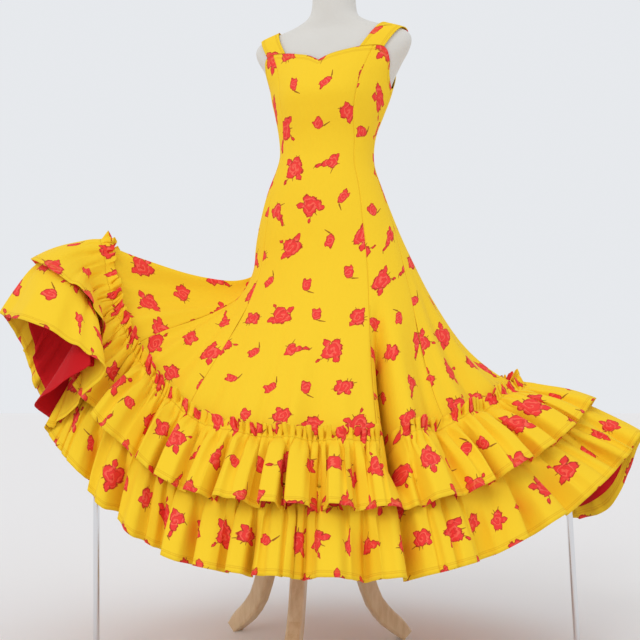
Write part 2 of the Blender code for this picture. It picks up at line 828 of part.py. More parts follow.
# ---------------------------------------------------------------- build
for leftover in list(bpy.data.objects):
    bpy.data.objects.remove(leftover)
for panel in PANELS:
    make_panel(*panel)
make_strap("strap_left", 1)
make_strap("strap_right", -1)
make_ruffles()
make_form()
make_stand()
for pole_side, numbers in POLES.items():
    make_pole(pole_side, *numbers)
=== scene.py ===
"""A flamenco dress on its dress form: the cloth, its print, the stand, the light and the camera.

Metres, +Z up, the floor at z 0. Each piece lies on the solid that it replaces. Left and right are
the wearer's.
"""

import math

import bmesh
import bpy
import numpy as np
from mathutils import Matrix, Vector


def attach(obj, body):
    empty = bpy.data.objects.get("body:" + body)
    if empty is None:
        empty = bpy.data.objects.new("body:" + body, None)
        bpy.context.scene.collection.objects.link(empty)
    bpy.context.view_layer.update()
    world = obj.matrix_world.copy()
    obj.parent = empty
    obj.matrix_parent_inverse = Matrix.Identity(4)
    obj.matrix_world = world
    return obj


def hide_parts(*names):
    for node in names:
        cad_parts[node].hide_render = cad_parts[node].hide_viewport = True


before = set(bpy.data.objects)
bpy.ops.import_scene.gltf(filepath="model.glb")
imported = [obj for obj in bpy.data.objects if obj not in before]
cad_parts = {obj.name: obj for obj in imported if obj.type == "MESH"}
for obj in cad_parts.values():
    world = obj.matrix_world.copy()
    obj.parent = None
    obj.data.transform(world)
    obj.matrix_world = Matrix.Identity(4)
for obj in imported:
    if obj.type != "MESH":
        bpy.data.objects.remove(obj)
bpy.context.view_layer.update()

# ---------------------------------------------------------------- dress form
# A limbless torso in stuffed fine jersey, cream, with no seams in front. It is turned a little, so
# that its chest faces between -Y and -X. Its surface carries the whole bodice.


def table(columns, *rows):
    """Rows of numbers as named columns."""
    return {name: np.array(column, float) for name, column in zip(columns.split(), zip(*rows))}


def curve(xs, ys, x):
    """A smooth curve through the points (xs, ys), read at every x."""
    x = np.clip(x, xs[0], xs[-1])
    i = np.clip(np.searchsorted(xs, x, side="right") - 1, 0, len(xs) - 2)
    a, b = np.maximum(i - 1, 0), np.minimum(i + 2, len(xs) - 1)
    span = xs[i + 1] - xs[i]
    start = (ys[i + 1] - ys[a]) / (xs[i + 1] - xs[a]) * span
    end = (ys[b] - ys[i]) / (xs[b] - xs[i]) * span
    t = (x - xs[i]) / span
    return (
        (2 * t**3 - 3 * t**2 + 1) * ys[i]
        + (t**3 - 2 * t**2 + t) * start
        + (3 * t**2 - 2 * t**3) * ys[i + 1]
        + (t**3 - t**2) * end
    )


def unit(v):
    return v / np.maximum(np.linalg.norm(v, axis=-1, keepdims=True), 1e-12)


TORSO = table(
    "height half_width front back bust lean_x lean_y",
    (0.860, 0.158, 0.100, 0.110, 0.000, 0.003, 0.000),
    (0.900, 0.172, 0.106, 0.120, 0.000, 0.003, 0.000),
    (0.950, 0.178, 0.110, 0.126, 0.000, 0.003, 0.000),
    (1.000, 0.173, 0.110, 0.122, 0.000, 0.003, 0.000),
    (1.060, 0.158, 0.103, 0.108, 0.000, 0.001, 0.000),
    (1.120, 0.138, 0.095, 0.090, 0.000, -0.001, 0.000),
    (1.170, 0.119, 0.088, 0.078, 0.000, 0.001, 0.000),
    (1.205, 0.113, 0.085, 0.075, 0.000, 0.004, 0.000),
    (1.250, 0.117, 0.088, 0.080, 0.003, 0.006, 0.002),
    (1.300, 0.131, 0.094, 0.090, 0.015, 0.011, 0.004),
    (1.340, 0.144, 0.098, 0.097, 0.022, 0.014, 0.006),
    (1.380, 0.155, 0.095, 0.100, 0.014, 0.016, 0.008),
    (1.420, 0.175, 0.086, 0.096, 0.004, 0.017, 0.010),
    (1.455, 0.196, 0.074, 0.086, 0.000, 0.017, 0.012),
    (1.480, 0.201, 0.062, 0.073, 0.000, 0.017, 0.013),
    (1.498, 0.186, 0.052, 0.062, 0.000, 0.018, 0.013),
    (1.512, 0.146, 0.047, 0.056, 0.000, 0.019, 0.013),
    (1.526, 0.100, 0.047, 0.053, 0.000, 0.020, 0.012),
    (1.544, 0.066, 0.048, 0.051, 0.000, 0.021, 0.010),
    (1.570, 0.055, 0.049, 0.050, 0.000, 0.022, 0.008),
    (1.620, 0.053, 0.050, 0.050, 0.000, 0.022, 0.006),
)
FORM_YAW = math.radians(-20)
BUST_APART, BUST_WIDTH = 0.062, 0.060


def ring(height, column):
    return curve(TORSO["height"], TORSO[column], height)


def depth_at(x, height, behind, bridged):
    """How deep the torso is off its middle. Cloth bridges the hollow between the breasts."""
    off = np.abs(x) - BUST_APART
    if bridged:
        off = np.maximum(off, 0)
    bust = ring(height, "bust") * np.exp(-((off / BUST_WIDTH) ** 2))
    return np.where(behind, ring(height, "back"), ring(height, "front") + bust)


def outside(x, y, height, bridged):
    """Under 0 inside the torso's outline at this height, and over 0 outside it."""
    depth = depth_at(x, height, y > 0, bridged)
    return (x / ring(height, "half_width")) ** 2 + (y / depth) ** 2 - 1


def moved_out(x, y, height, out, bridged=True):
    """A point on the form, moved out square to it, in the row frame."""
    e = 0.0005  # half the step over which the surface's slope is read
    slope = unit(
        np.stack(
            [
                outside(x + e, y, height, bridged) - outside(x - e, y, height, bridged),
                outside(x, y + e, height, bridged) - outside(x, y - e, height, bridged),
                outside(x, y, height + e, bridged) - outside(x, y, height - e, bridged),
            ],
            -1,
        )
    )
    x, y, height = (value + slope[..., k] * out for k, value in enumerate((x, y, height)))
    return np.stack(
        [
            x * math.cos(FORM_YAW) - y * math.sin(FORM_YAW) + ring(height, "lean_x"),
            x * math.sin(FORM_YAW) + y * math.cos(FORM_YAW) + ring(height, "lean_y"),
            height,
        ],
        -1,
    )


def on_torso(turn, height, out, bridged=True):
    """A point round the torso: turn is 0 in front, 90 at the wearer's left, 180 behind."""
    angle = np.radians(turn)
    x = ring(height, "half_width") * np.sin(angle)
    y = -depth_at(x, height, np.cos(angle) < 0, bridged) * np.cos(angle)
    return moved_out(x, y, height, out, bridged)


class Tone:
    """A number or colour in a material, worked out in plain arithmetic."""

    def __init__(self, tree, socket=None):
        self.tree, self.socket = tree, socket

    def node(self, kind, settings, inputs, output=0):
        made = self.tree.nodes.new(kind)
        for key, value in settings.items():
            setattr(made, key, value)
        for key, value in inputs.items():
            if isinstance(value, Tone):
                self.tree.links.new(value.socket, made.inputs[key])
            else:
                made.inputs[key].default_value = value
        return Tone(self.tree, made.outputs[output])

    def math(self, operation, *values):
        numbers = dict(enumerate((self, *values)))
        return self.node("ShaderNodeMath", {"operation": operation}, numbers)

    def __add__(self, other):
        return self.math("ADD", other)

    def __sub__(self, other):
        return self.math("SUBTRACT", other)

    def __mul__(self, other):
        return self.math("MULTIPLY", other)

    def __truediv__(self, other):
        return self.math("DIVIDE", other)

    def __neg__(self):
        return self.math("MULTIPLY", -1.0)

    def __rsub__(self, other):
        return (-self).math("ADD", other)

    def __abs__(self):
        return self.math("ABSOLUTE")

    def __or__(self, other):
        """The larger of the two."""
        return self.math("MAXIMUM", other)

    def __and__(self, other):
        """The smaller of the two."""
        return self.math("MINIMUM", other)

    __radd__ = __add__
    __rmul__ = __mul__

    def above(self, edge, soft):
        """0 below the edge and 1 above it, with a soft step."""
        limits = {"Value": self, "From Min": edge - soft, "From Max": edge + soft}
        return self.node("ShaderNodeMapRange", {"interpolation_type": "SMOOTHSTEP"}, limits)

    def below(self, edge, soft):
        return 1.0 - self.above(edge, soft)

    def point(self, x, y, z=0.0):
        return self.node("ShaderNodeCombineXYZ", {}, {0: x, 1: y, 2: z})

    def noise(self, place, scale, detail=2.0):
        settings = {"Vector": place, "Scale": scale, "Detail": detail}
        return self.node("ShaderNodeTexNoise", {}, settings)

    def blend(self, low, high):
        """From the colour low to the colour high, as this number goes from 0 to 1."""
        colours = [c if isinstance(c, Tone) else (*c, 1) for c in (low, high)]
        inputs = {0: self, 6: colours[0], 7: colours[1]}
        return self.node("ShaderNodeMix", {"data_type": "RGBA"}, inputs, 2)

    def lead_to(self, shader, name):
        self.tree.links.new(self.socket, shader.inputs[name])

    def raise_surface(self, shader, strength=1.0):
        """Uses this number, in metres, as the height of the surface."""
        inputs = {"Strength": strength, "Distance": 1.0, "Height": self}
        self.node("ShaderNodeBump", {}, inputs).lead_to(shader, "Normal")


def finish(name, colour, roughness, **constants):
    """A new material with its shader, and a tone to start its arithmetic from."""
    made = bpy.data.materials.new(name)
    made.use_nodes = True
    shader = made.node_tree.nodes["Principled BSDF"]
    shader.inputs["Base Color"].default_value = (*colour, 1)
    shader.inputs["Roughness"].default_value = roughness
    for key, value in constants.items():
        shader.inputs[key.replace("_", " ")].default_value = value
    return made, shader, Tone(made.node_tree)


jersey, shader, tone = finish("cream_jersey", (0.700, 0.675, 0.620), 0.9, Sheen_Weight=0.25)
place = tone.node("ShaderNodeTexCoord", {}, {}, 3)
knit = tone.noise(place, 900.0)
shade = tone.noise(place, 9.0)
(shade * 0.5 + knit * 0.3).blend((0.640, 0.612, 0.560), (0.760, 0.735, 0.685)).lead_to(
    shader, "Base Color"
)
(knit * 0.00025).raise_surface(shader, 0.7)


def mesh_object(name, maker, material):
    """The finished bmesh as an object at the origin."""
    mesh = bpy.data.meshes.new(name)
    maker.to_mesh(mesh)
    maker.free()
    mesh.materials.append(material)
    made = bpy.data.objects.new(name, mesh)
    bpy.context.scene.collection.objects.link(made)
    return made


def sheet_of(points):
    """A grid mesh with its points placed, a row of points for each row of cloth."""
    rows, columns = points.shape[:2]
    maker = bmesh.new()
    bmesh.ops.create_grid(maker, x_segments=columns - 1, y_segments=rows - 1, size=0.5)
    for vertex, spot in zip(maker.verts, points.reshape(-1, 3).tolist()):
        vertex.co = spot
    for face in maker.faces:
        face.smooth = True
    return maker


turn, height = np.meshgrid(np.linspace(0, 360, 97), np.linspace(1.620, 0.860, 130))
maker = sheet_of(on_torso(turn, height, 0.0, False))
bmesh.ops.remove_doubles(maker, verts=maker.verts, dist=1e-5)
bmesh.ops.holes_fill(maker, edges=[e for e in maker.edges if e.is_boundary], sides=100)
bmesh.ops.recalc_face_normals(maker, faces=maker.faces)
torso = mesh_object("dress_form", maker, jersey)
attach(torso, "root")
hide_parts("form_torso")

# ---------------------------------------------------------------- stand
# Three S-shaped legs sawn from pale beech and rounded over, a turned hub of the same wood, and a
# thin steel column up into the torso. The neck is closed by a flat wooden cap.
beech, shader, tone = finish("pale_beech", (0.640, 0.450, 0.260), 0.42, Coat_Weight=0.25)
place = tone.node("ShaderNodeTexCoord", {}, {}, 3)
stretched = tone.node(
    "ShaderNodeMapping",
    {},
    {"Vector": place, "Scale": (26.0, 26.0, 5.0), "Rotation": (0.0, 0.5, 0.0)},
)
grain = tone.noise(stretched, 3.0, 6.0)
pores = tone.noise(stretched, 14.0, 3.0)
streak = (grain * 6.0).math("SINE") * 0.5 + 0.5
(streak * 0.55 + pores * 0.45).blend((0.560, 0.360, 0.180), (0.760, 0.570, 0.350)).lead_to(
    shader, "Base Color"
)
(pores * 0.0004 + streak * 0.0001).raise_surface(shader, 0.5)
steel, shader, tone = finish("chromed_steel", (0.780, 0.790, 0.810), 0.14, Metallic=1.0)
place = tone.node("ShaderNodeTexCoord", {}, {}, 3)
smudge = tone.noise(place, 30.0, 4.0)
(smudge * 0.16 + 0.06).lead_to(shader, "Roughness")


def cover(name, material):
    """Gives a kept solid its material."""
    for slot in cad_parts[name].material_slots:
        slot.material = material


for name in ("stand_hub", "leg_front", "leg_left", "leg_right", "form_neck_cap"):
    cover(name, beech)
cover("stand_column", steel)

# ---------------------------------------------------------------- two poles
# Plain chromed tubes on round bases, which hold the skirt up at each side. Each one ends under the
# line on which the upper ruffle is stitched.
for name in ("prop_pole_left", "prop_pole_right", "prop_base_left", "prop_base_right"):
    cover(name, steel)

# ---------------------------------------------------------------- printed cotton
# Yellow cotton, printed in two reds with brown stems. The print is four motifs, scattered one to a
# cell of the cloth and turned every way: a large rose with leaves and a loose bud, a middling rose
# with sepals, a rose with a bud grown to it, and a small bud beside a dash of stem.
# The darker gold beside the yellow is painted shade, laid along the seams and along the stitch
# lines near the hems.
YELLOW, SHADE_GOLD = (0.940, 0.615, 0.022), (0.660, 0.290, 0.002)
CORAL, PETAL, EDGE = (0.900, 0.050, 0.042), (0.960, 0.135, 0.085), (0.330, 0.020, 0.006)
STEM = (0.300, 0.075, 0.008)
CELL, SHIFT = 0.092, 0.030  # breadth of a cell, and how far a small motif strays from its middle
LARGE_TO, PAIRED_FROM, BUD_FROM = 0.32, 0.56, 0.74  # shares of the cells, middling ones between
cotton, shader, tone = finish("printed_cotton", YELLOW, 0.85, Specular_IOR_Level=0.25)


def flat_place(tone, layer):
    """The two numbers of a UV layer."""
    spot = tone.node("ShaderNodeUVMap", {"uv_map": layer}, {})
    return [tone.node("ShaderNodeSeparateXYZ", {}, {0: spot}, k) for k in (0, 1)]


u, v = flat_place(tone, "cut")
row = (v / CELL).math("FLOOR")
sideways = u / CELL + row * 0.5
column = sideways.math("FLOOR")
chance = [
    tone.node(
        "ShaderNodeTexWhiteNoise",
        {"noise_dimensions": "3D"},
        {"Vector": tone.point(column, row, k + 0.5)},
    )
    for k in range(4)
]
is_large = chance[3].math("LESS_THAN", LARGE_TO)
is_bud = chance[3].math("GREATER_THAN", BUD_FROM)
is_paired = chance[3].math("GREATER_THAN", PAIRED_FROM) - is_bud
is_middling = 1.0 - is_large - is_bud - is_paired
loose = SHIFT * (1.0 - (is_large + is_paired) * 0.75)
x = (sideways - column - 0.5) * CELL - (chance[0] - 0.5) * loose
y = (v / CELL - row - 0.5) * CELL - (chance[1] - 0.5) * loose
turned = chance[2] * (2 * math.pi)
cosine, sine = turned.math("COSINE"), turned.math("SINE")
reach = is_large * 0.0240 + is_middling * 0.0215 + is_paired * 0.0200 + is_bud * 0.0160
x, y = (x * cosine - y * sine) / reach, (x * sine + y * cosine) / reach
ragged = tone.noise(tone.point(u, v), 130.0, 1.0) * 0.36 - 0.19


def lobe(at_x, at_y, degrees, length, width, pointed):
    """Under 0 inside an oval petal or, where pointed, a leaf."""
    c, s = math.cos(math.radians(degrees)), math.sin(math.radians(degrees))
    along = ((x - at_x) * c + (y - at_y) * s) / length
    over = ((y - at_y) * c - (x - at_x) * s) / width
    if pointed:
        return (abs(over) + along * along - 1.0) * width
    return ((along * along + over * over).math("SQRT") - 1.0) * min(length, width)


def stroke(x0, y0, x1, y1, width):
    """Under 0 inside a thin stroke that tapers to its end."""
    dx, dy = x1 - x0, y1 - y0
    t = (((x - x0) * dx + (y - y0) * dy) / (dx * dx + dy * dy) | 0.0) & 1.0
    off_x, off_y = x - x0 - t * dx, y - y0 - t * dy
    return (off_x * off_x + off_y * off_y).math("SQRT") - width * (1.25 - t * 0.7)


def smallest(parts):
    found = parts[0]
    for part in parts[1:]:
        found = found & part
    return found


LARGE_ROSE = (  # x, y, degrees, length, width, pointed
    (0.00, 0.02, 75, 1.02, 0.76, False),
    (-0.46, -0.38, 40, 0.64, 0.48, False),
    (0.26, 0.66, 115, 0.52, 0.34, True),
    (0.48, -0.34, 150, 0.56, 0.42, False),
    (-1.00, 0.30, 165, 0.52, 0.34, True),
    (1.06, -0.12, -12, 0.50, 0.32, True),
    (0.50, 1.42, 65, 0.30, 0.15, True),
)
MIDDLING_ROSE = (
    (0.00, 0.00, 62, 1.02, 0.64, False),
    (0.44, -0.56, -58, 0.56, 0.34, True),
    (-0.32, 0.56, 112, 0.50, 0.32, True),
    (0.50, 0.12, 20, 0.46, 0.36, False),
    (-0.34, -0.34, 80, 0.50, 0.32, False),
)
PAIRED_ROSE = (
    (-0.34, 0.12, 70, 0.84, 0.64, False),
    (0.40, -0.10, -25, 0.66, 0.40, False),
    (-0.62, 0.66, 120, 0.46, 0.30, True),
    (1.32, -0.40, -4, 0.44, 0.22, False),
)
BUD = (
    (0.04, -0.06, 82, 0.96, 0.66, False),
    (-0.30, 0.40, 100, 0.62, 0.36, True),
    (0.32, 0.46, 76, 0.60, 0.34, False),
)
LARGE_STEMS = (
    (0.36, 0.86, 0.52, 1.20, 0.050),
    (-0.80, -0.62, -1.06, -0.72, 0.050),
    (-0.66, -0.78, -0.86, -1.00, 0.050),
    (0.72, 0.48, 1.02, 0.66, 0.045),
)
MIDDLING_STEMS = (
    (-0.62, -0.10, -1.00, -0.02, 0.050),
    (-0.66, -0.34, -1.06, -0.42, 0.050),
    (-0.52, -0.62, -0.80, -1.12, 0.060),
    (0.34, 0.86, 0.50, 1.14, 0.045),
)
PAIRED_STEMS = (
    (0.86, -0.30, 1.02, -0.36, 0.050),
    (1.70, -0.34, 1.88, -0.72, 0.070),
    (-0.60, -0.66, -0.52, -1.26, 0.055),
    (-0.98, -0.16, -1.28, -0.14, 0.050),
)
BUD_STEMS = ((-0.36, -1.14, -1.20, -1.46, 0.095), (0.02, -0.92, -0.34, -1.12, 0.080))


def chosen(*shapes):
    """Each cell's own motif out of the four."""
    kinds = zip((is_large, is_middling, is_paired, is_bud), shapes)
    return sum(((kind * shape) for kind, shape in kinds), start=is_large * 0.0)


petals = chosen(
    *(
        smallest([lobe(*numbers) for numbers in motif])
        for motif in (LARGE_ROSE, MIDDLING_ROSE, PAIRED_ROSE, BUD)
    )
)
stems = chosen(
    *(
        smallest([stroke(*numbers) for numbers in motif])
        for motif in (LARGE_STEMS, MIDDLING_STEMS, PAIRED_STEMS, BUD_STEMS)
    )
)
petals = petals + ragged
red = petals.below(0.0, 0.035)
edge = red * petals.above(-0.085, 0.045)
from_middle = (x * x * 0.7 + y * y * 1.2).math("SQRT")
round_angle = y.math("ARCTAN2", x)
brush = tone.noise(tone.point(u, v), 75.0, 2.0)
petal_line = (from_middle * 1.9 - round_angle / (2 * math.pi) + brush * 2.0).math("FRACT")
inner_line = red * (1.0 - abs(petal_line - 0.5).above(0.060, 0.045)) * from_middle.below(0.80, 0.2)
light_petal = red * (1.0 - abs(petal_line - 0.80).above(0.14, 0.07)) * from_middle.below(0.90, 0.2)
colour = light_petal.blend(CORAL, PETAL)
colour = (inner_line * 0.26 | edge * 0.78).blend(colour, EDGE)
colour = red.blend(YELLOW, colour)
colour = (stems.below(0.0, 0.03) * (1.0 - red) * 0.92).blend(colour, STEM)
# Painted shade: a darker gold line along each seam, and a fainter one on each of the two stitch
# lines near a hemmed edge, for the shade in their grooves. The stitch lines are also pressed in by
# the bump below.
seam_off, hem_off = flat_place(tone, "edge")
seam_shade = seam_off.below(0.0010, 0.0007)
hem_groove_shade = abs(hem_off - 0.010).below(0.0010, 0.0006) | abs(hem_off - 0.0135).below(0.0008, 0.0006)
colour = (seam_shade * 0.60 | hem_groove_shade * 0.30).blend(colour, SHADE_GOLD)
colour.lead_to(shader, "Base Color")
weave = tone.noise(tone.point(u, v), 1400.0)
crumple = tone.noise(tone.point(u, v * 0.55), 24.0, 3.0)
(weave * 0.00010 + crumple * 0.0030 - hem_groove_shade * 0.0004).raise_surface(shader, 0.8)

# ---------------------------------------------------------------- long panels
# Seven panels from the neck and two gores from the hip, cut long and sewn edge to edge, with no
# seam at the waist. The skirt is spread to the two poles and runs on a little under the ruffle.


def ramp(x, low, high):
    """0 below low, 1 above high, and an S between them."""
    t = np.clip((x - low) / (high - low), 0, 1)
    return t * t * (3 - 2 * t)


# The closed line on which the upper ruffle is stitched. leave is the height at which the cloth
# leaves the form, sag its slackness, and arrive the slope in degrees at which it comes to the line.
LOOP = table(
    "x y z leave sag arrive",
    (-0.535, -0.050, 0.985, 0.950, 0.82, 24),
    (-0.512, -0.090, 0.890, 0.945, 0.95, -4),
    (-0.476, -0.135, 0.800, 0.940, 1.00, -24),
    (-0.432, -0.175, 0.720, 0.950, 0.95, -36),
    (-0.380, -0.215, 0.652, 0.960, 0.95, -46),
    (-0.285, -0.272, 0.579, 0.980, 0.95, -54),
    (-0.150, -0.325, 0.547, 1.000, 0.95, -57),
    (-0.005, -0.345, 0.540, 1.010, 0.95, -58),
    (0.128, -0.335, 0.538, 1.030, 0.95, -57),
    (0.217, -0.300, 0.553, 1.060, 0.95, -55),
    (0.290, -0.250, 0.573, 1.090, 0.95, -50),
    (0.365, -0.188, 0.600, 1.100, 0.95, -42),
    (0.430, -0.115, 0.620, 1.100, 0.95, -30),
    (0.480, -0.040, 0.646, 1.090, 0.95, -12),
    (0.440, 0.075, 0.622, 1.060, 0.95, -34),
    (0.345, 0.190, 0.580, 1.020, 0.95, -50),
    (0.205, 0.280, 0.552, 1.000, 0.95, -56),
    (0.050, 0.330, 0.541, 0.990, 0.95, -58),
    (-0.105, 0.335, 0.547, 0.980, 0.95, -57),
    (-0.250, 0.285, 0.582, 0.970, 0.95, -54),
    (-0.365, 0.200, 0.652, 0.960, 0.95, -46),
    (-0.450, 0.110, 0.748, 0.950, 1.00, -32),
    (-0.505, 0.020, 0.880, 0.950, 0.90, 0),
)
spots = np.stack([LOOP[c] for c in "xyz"], -1)
steps = np.linalg.norm(np.roll(spots, -1, 0) - spots, axis=1)
LENGTH = float(steps.sum())
STATIONS = np.concatenate([[0], np.cumsum(steps)[:-1]])


def round_loop(stations, values, s):
    """values read smoothly at s metres along the closed loop."""
    order = np.argsort(stations % LENGTH)
    xs, ys = (stations % LENGTH)[order], values[order]
    xs = np.concatenate([xs[-3:] - LENGTH, xs, xs[:3] + LENGTH])
    return curve(xs, np.concatenate([ys[-3:], ys, ys[:3]]), s % LENGTH)


def loop_point(s):
    return np.stack([round_loop(STATIONS, LOOP[c], s) for c in "xyz"], -1)


def outward(s, apart=0.03):
    along = loop_point(s + apart) - loop_point(s - apart)
    return unit(np.stack([along[..., 1], -along[..., 0], np.zeros_like(s)], -1))


# The skirt's folds: place on the loop, depth out of the cloth, width, and where between the hip
# (0) and the stitch line (1) each begins. The deepest is a pleat just left of a seam.
SKIRT_FOLDS = table(
    "s depth width start",
    (0.030, 0.006, 0.022, 0.20),
    (0.095, -0.008, 0.024, 0.15),
    (0.165, -0.012, 0.040, 0.15),
    (0.235, 0.009, 0.022, 0.20),
    (0.315, -0.010, 0.020, 0.10),
    (0.365, 0.008, 0.016, 0.25),
    (0.430, -0.010, 0.022, 0.15),
    (0.480, 0.007, 0.018, 0.45),
    (0.560, -0.008, 0.020, 0.40),
    (0.640, 0.006, 0.016, 0.60),
    (0.690, -0.006, 0.011, 0.10),
    (0.765, 0.009, 0.020, 0.15),
    (0.815, -0.010, 0.026, 0.40),
    (0.880, 0.007, 0.018, 0.55),
    (0.980, -0.150, 0.0140, 0.32),
    (1.034, 0.020, 0.024, 0.25),
    (1.105, -0.018, 0.022, 0.40),
    (1.190, 0.010, 0.020, 0.35),
    (1.255, -0.018, 0.026, 0.20),
    (1.330, 0.007, 0.022, 0.35),
    (1.420, -0.012, 0.034, 0.25),
    (1.570, 0.008, 0.030, 0.30),
    (1.700, -0.022, 0.040, 0.30),
    (1.860, 0.016, 0.045, 0.30),
    (2.060, -0.024, 0.040, 0.35),
    (2.290, 0.015, 0.050, 0.30),
    (2.470, -0.022, 0.040, 0.30),
    (2.640, 0.010, 0.036, 0.25),
    (2.780, -0.015, 0.045, 0.20),
)


def skirt_fold(s, share):
    """How far the skirt's folds move the cloth out."""
    moved = np.zeros(np.broadcast(s, share).shape)
    for place, depth, width, start in zip(*SKIRT_FOLDS.values()):
        off = (s - place + LENGTH / 2) % LENGTH - LENGTH / 2
        narrow = width * (1.5 - 0.5 * ramp(share, start, 1.0))
        moved = moved + depth * np.exp(-((off / narrow) ** 2)) * ramp(share, start, 1.0)
    return moved


# The bodice's top edge round one half: sweetheart, strap, armhole, strap and low back.
TOP_EDGE = table(
    "turn height",
    (0, 1.4170),
    (10, 1.4310),
    (22, 1.4400),
    (34, 1.4470),
    (55, 1.4470),
    (67, 1.4200),
    (77, 1.3850),
    (91, 1.3600),
    (104, 1.3760),
    (116, 1.4050),
    (128, 1.4300),
    (146, 1.4300),
    (157, 1.4150),
    (180, 1.4000),
)
EASE = 0.0050  # from the form to the middle of the cloth


def top_edge(turn):
    return curve(TOP_EDGE["turn"], TOP_EDGE["height"], np.abs((turn + 180) % 360 - 180))


def swung(turn, height):
    """The princess seams swing in over the bust and out at the waist."""
    swing = 5 * (ramp(height, 1.02, 1.14) - ramp(height, 1.22, 1.30) - ramp(height, 1.22, 1.34))
    return turn + swing * np.sin(2 * np.radians(turn))


def bodice_point(turn, height):
    return on_torso(swung(turn, height), height, EASE)


def skirt_point(s, turn, share):
    """A point between the hip (share 0) and the stitch line (share 1)."""
    leave = round_loop(STATIONS, LOOP["leave"], s)
    start, end = bodice_point(turn, leave), loop_point(s)
    reach = np.linalg.norm(end - start, axis=-1, keepdims=True)
    below = unit(start - bodice_point(turn, leave + 0.01))
    pull_start = below * reach * round_loop(STATIONS, LOOP["sag"], s)[..., None]
    arrive = np.radians(round_loop(STATIONS, LOOP["arrive"], s))[..., None]
    last = outward(s, 0.15) * np.cos(arrive) + np.array([0, 0, 1]) * np.sin(arrive)
    t = share[..., None]
    return (
        (2 * t**3 - 3 * t**2 + 1) * start
        + (t**3 - 2 * t**2 + t) * pull_start
        + (3 * t**2 - 2 * t**3) * end
        + (t**3 - t**2) * last * reach * 0.85
    )


# How the ruffles leave the stitch line: slope in degrees there and at the hem, the slope that the
# lower ruffle kicks out to, how full the folds are, how far the fall is swung round, where the
# lifted end lies over its pole and folds back under itself, and how much longer it is cut there.
FALLS = table(
    "s rise set kick full swing long",
    (-0.415, -32, -68, -68, 1.00, 20, 1.05),
    (-0.280, -22, -64, -60, 0.90, 30, 1.20),
    (-0.130, -14, -60, -54, 0.70, 20, 1.18),
    (-0.060, -12, -62, -60, 0.50, 14, 1.14),
    (0.000, -8, -62, -62, 0.30, 14, 1.00),
    (0.050, -12, -56, -56, 0.25, 38, 1.00),
    (0.100, -14, -54, -54, 0.25, 62, 1.00),
    (0.140, -18, -56, -56, 0.35, 72, 1.00),
    (0.168, -26, -72, -62, 0.60, 34, 1.00),
    (0.200, -40, -80, -58, 0.90, -14, 1.04),
    (0.312, -46, -82, -72, 1.00, -6, 1.00),
    (0.407, -46, -80, -78, 1.00, 0, 1.00),
    (0.539, -54, -76, -76, 1.00, 0, 1.00),
    (0.688, -57, -72, -72, 1.00, 0, 1.00),
    (0.834, -58, -70, -70, 1.00, 0, 1.00),
    (0.968, -57, -71, -71, 1.00, 0, 1.00),
    (1.065, -55, -72, -72, 1.00, 0, 1.00),
    (1.155, -50, -70, -70, 1.00, 6, 1.00),
    (1.256, -38, -58, -46, 0.90, 20, 1.00),
    (1.356, -18, -46, -28, 0.70, 28, 1.00),
    (1.440, -12, -44, -36, 0.40, 6, 1.00),
    (1.505, -28, -64, -64, 0.50, -34, 1.44),
    (1.560, -36, -70, -70, 0.80, -34, 1.48),
    (1.640, -44, -72, -70, 0.90, -24, 1.25),
    (1.729, -48, -72, -70, 1.00, -14, 1.05),
    (1.898, -56, -72, -72, 1.00, 0, 1.00),
    (2.061, -58, -71, -71, 1.00, 0, 1.00),
    (2.216, -57, -72, -72, 1.00, 0, 1.00),
    (2.373, -54, -76, -76, 1.00, 0, 1.00),
)


HEM_FALL = 0.300  # from the stitch line to the lower ruffle's hem


def path_down(s, downs, kicked):
    """The ruffles' middle surface: a row for each distance below the stitch line."""
    rise, final, kick, swing = (
        np.radians(round_loop(FALLS["s"], FALLS[c], s)) for c in ("rise", "set", "kick", "swing")
    )
    fine = np.linspace(0, 0.32, 65)[:, None]
    apart = float(fine[1, 0])
    angle = rise + (final - rise) * (fine / HEM_FALL)
    if kicked:
        angle = angle + (kick - angle) * ramp(fine, 0.13, 0.21)
    round_by = swing * ramp(fine, 0.0, 0.10)
    out = outward(s)
    step = np.stack(
        [
            (out[:, 0] * np.cos(round_by) - out[:, 1] * np.sin(round_by)) * np.cos(angle),
            (out[:, 0] * np.sin(round_by) + out[:, 1] * np.cos(round_by)) * np.cos(angle),
            np.sin(angle),
        ],
        -1,
    ) * apart
    longer = 1 + (round_loop(FALLS["s"], FALLS["long"], s) - 1) * ramp(fine, 0.10, 0.14)
    step = step * longer[..., None]
    path = loop_point(s) + np.concatenate([np.zeros((1, *step.shape[1:])), np.cumsum(step, 0)[:-1]])
    rows = []
    for down in downs:
        mark = down / apart
        k = min(max(int(mark), 0), len(fine) - 2)
        rows.append(path[k] + (path[k + 1] - path[k]) * (mark - k))
    return np.array(rows)


def grid_frame(points):
    """Unit vectors along the columns and out of the cloth, for a grid of points."""
    along = unit(np.gradient(points, axis=1))
    down = np.gradient(points, axis=0)
    return along, unit(np.cross(down, along))


def run_along(points, axis):
    """Distance run along a grid, from its first row or column."""
    gaps = np.linalg.norm(np.diff(points, axis=axis), axis=-1)
    return np.concatenate([np.zeros_like(np.take(gaps, [0], axis)), np.cumsum(gaps, axis)], axis)


def ripple(x, seed, *waves):
    """A smooth uneven number between about -1 and 1 that repeats as x goes from 0 to 1."""
    total = sum(
        np.sin(2 * np.pi * (n * x + ((seed * 0.618 + k * 0.37) % 1.0))) for k, n in enumerate(waves)
    )
    return total / len(waves)


